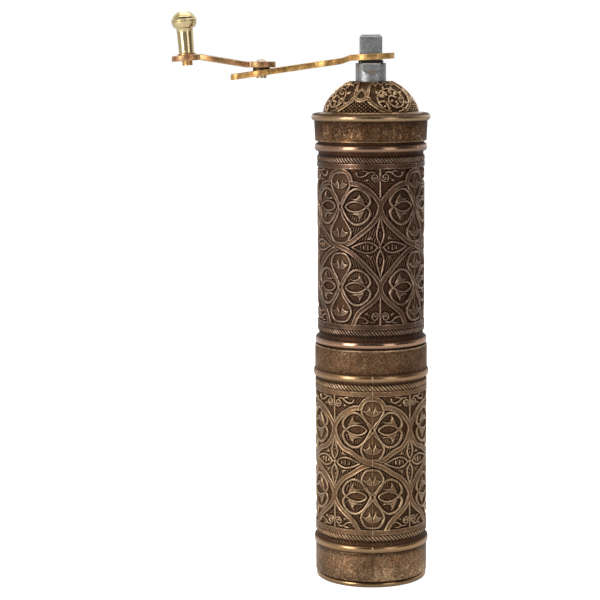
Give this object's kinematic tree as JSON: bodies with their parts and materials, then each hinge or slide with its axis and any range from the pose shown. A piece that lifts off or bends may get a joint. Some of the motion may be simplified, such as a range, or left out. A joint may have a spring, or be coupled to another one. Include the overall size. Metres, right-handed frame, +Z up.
{
  "type": "turkish coffee grinder",
  "caption": "Tall round hand coffee grinder with cast arabesque ornament, domed lid, square spindle and folding crank with turned knob; the bean chamber pulls off the cup.",
  "frame": {"origin": "centre of the flat foot", "axes": "+Z up along the spindle, -X towards the crank's knob"},
  "size_m": [0.1033, 0.0476, 0.2302],
  "materials": {
    "cup_brass": "antiqued relief, polished bands",
    "chamber_brass": "dark coppery patina, polished beads",
    "lid_brass": "antiqued relief, speckled band",
    "arm_plating": "yellow passivated zinc plate",
    "turned_brass": "polished",
    "spindle_steel": "zinc plate",
    "burr_iron": "hardened, dark",
    "inner_steel": "bright steel"
  },
  "bodies": {
    "cup": {"base_plate": "cup_brass", "cup_shell": "cup_brass"},
    "upper": {"bean_chamber": "chamber_brass", "neck_sleeve": "inner_steel", "outer_burr": "burr_iron", "burr_screws": "inner_steel", "lower_bridge": "inner_steel", "bridge_screws": "inner_steel", "top_bridge": "inner_steel", "bridge_bush": "turned_brass", "return_spring": "inner_steel"},
    "thrust": {"thrust_ball": "inner_steel", "spring_washer": "inner_steel"},
    "spindle": {"spindle": "spindle_steel", "inner_burr": "burr_iron", "drive_pin": "inner_steel", "retaining_clip": "inner_steel"},
    "adjuster": {"adjusting_screw": "turned_brass"},
    "lid": {"lid": "lid_brass"},
    "crank": {"crank_inner_arm": "arm_plating", "fold_rivet": "arm_plating", "rivet_washer": "turned_brass"},
    "outer_arm": {"crank_outer_arm": "arm_plating", "knob_pin": "spindle_steel", "knob_washer": "turned_brass"},
    "knob": {"knob": "turned_brass"}
  },
  "joints": [
    {"name": "cup_pull", "type": "slide", "parent": "cup", "child": "upper", "axis": [0, 0, 1], "range_m": [0, 0.05]},
    {"name": "lid_lift", "type": "slide", "parent": "upper", "child": "lid", "axis": [0, 0, 1], "range_m": [0, 0.055]},
    {"name": "adjust_rise", "type": "slide", "parent": "upper", "child": "thrust", "axis": [0, 0, 1], "range_m": [-0.0006, 0.0006], "deforming": ["return_spring"]},
    {"name": "adjust_turn", "type": "hinge", "parent": "thrust", "child": "adjuster", "pos_m": [0, 0, 0.078], "axis": [0, 0, 1], "range_deg": [-280, 280]},
    {"name": "crank_spin", "type": "hinge", "parent": "thrust", "child": "spindle", "pos_m": [0, 0, 0.165], "axis": [0, 0, 1], "continuous": true},
    {"name": "crank_lift", "type": "slide", "parent": "spindle", "child": "crank", "axis": [0, 0, 1], "range_m": [0, 0.055]},
    {"name": "arm_fold", "type": "hinge", "parent": "crank", "child": "outer_arm", "pos_m": [-0.04367, 0, 0.2079], "axis": [0, 0, 1], "range_deg": [-150, 150]},
    {"name": "knob_spin", "type": "hinge", "parent": "outer_arm", "child": "knob", "pos_m": [-0.07337, 0, 0.21296], "axis": [-0.0698, 0, 0.9976], "continuous": true}
  ],
  "couplings": [
    {"joint": "adjust_turn", "follows": "adjust_rise", "rad_per_m": 7854},
    {"joint": "crank_lift", "follows": "lid_lift", "ratio": 1}
  ]
}
